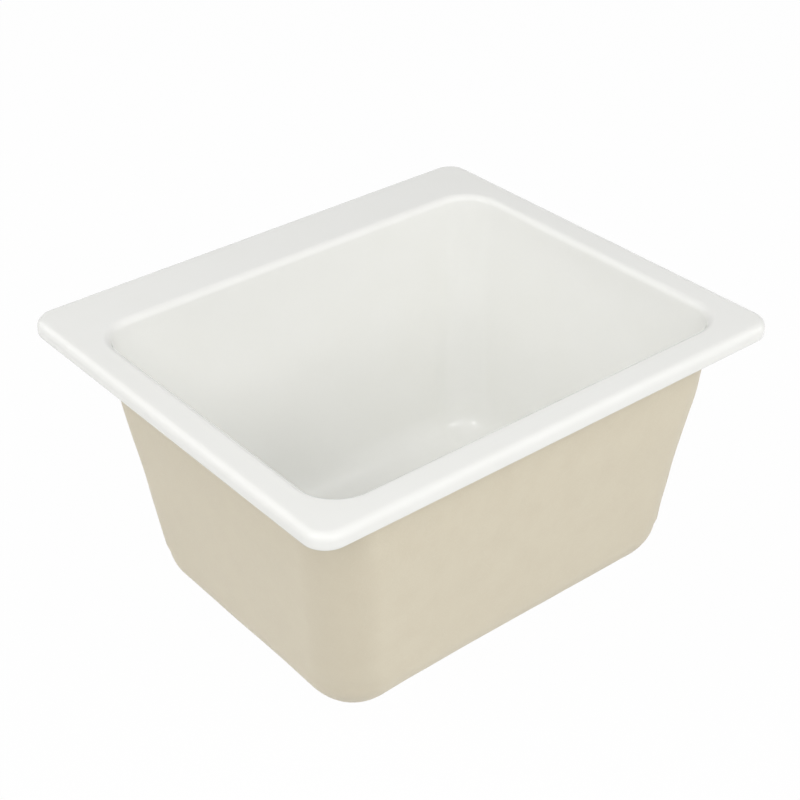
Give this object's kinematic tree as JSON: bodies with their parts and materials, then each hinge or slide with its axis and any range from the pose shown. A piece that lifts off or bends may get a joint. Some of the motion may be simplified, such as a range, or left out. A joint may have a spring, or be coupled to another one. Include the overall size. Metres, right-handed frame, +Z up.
{
  "type": "utility laundry sink",
  "caption": "Drop-in utility laundry sink: deep white acrylic bowl with faucet ledge, tan fibreglass backing, and a basket strainer drain with lift-out basket, stopper and tailpiece.",
  "frame": {"origin": "plan centre of the rim, on the worktop plane that the rim's lower edge rests on", "axes": "+X along the sink's long side, +Y towards the faucet ledge at the back, +Z up out of the bowl"},
  "size_m": [0.635, 0.5588, 0.4886],
  "materials": {
    "white_acrylic": "glossy vacuum-formed acrylic sheet",
    "tan_laminate": "satin, fibrous sprayed glass-fibre laminate",
    "plywood": "raw sanded plywood",
    "plumbers_putty": "matt putty",
    "stainless_steel": "brushed stainless steel",
    "spring_steel": "bright spring steel wire",
    "black_rubber": "matt moulded rubber",
    "fibre_ring": "pressed fibre board",
    "cast_nut": "zinc-plated casting",
    "white_plastic": "moulded polythene",
    "chromed_brass": "polished chrome plate"
  },
  "bodies": {
    "sink": {"acrylic_shell": "white_acrylic", "fibreglass_backing": "tan_laminate", "faucet_ledge_board": "plywood", "rim_stiffener_front": "plywood", "rim_stiffener_left": "plywood", "rim_stiffener_right": "plywood", "putty_ring": "plumbers_putty", "strainer_body": "stainless_steel", "strainer_gasket": "black_rubber", "friction_ring": "fibre_ring", "strainer_locknut": "cast_nut", "tailpiece_washer": "white_plastic", "tailpiece": "chromed_brass", "coupling_nut": "chromed_brass"},
    "basket": {"basket_cup": "stainless_steel", "post_guide": "stainless_steel", "post_clip": "spring_steel"},
    "stopper": {"stopper_seal": "black_rubber", "stopper_plate": "stainless_steel", "stopper_post": "chromed_brass", "stopper_knob": "chromed_brass", "stopper_screw": "stainless_steel"}
  },
  "joints": [
    {"name": "basket_lift", "type": "slide", "parent": "sink", "child": "basket", "axis": [0, 0, 1], "range_m": [0, 0.4]},
    {"name": "stopper_lift", "type": "slide", "parent": "basket", "child": "stopper", "axis": [0, 0, 1], "range_m": [0, 0.008]}
  ]
}
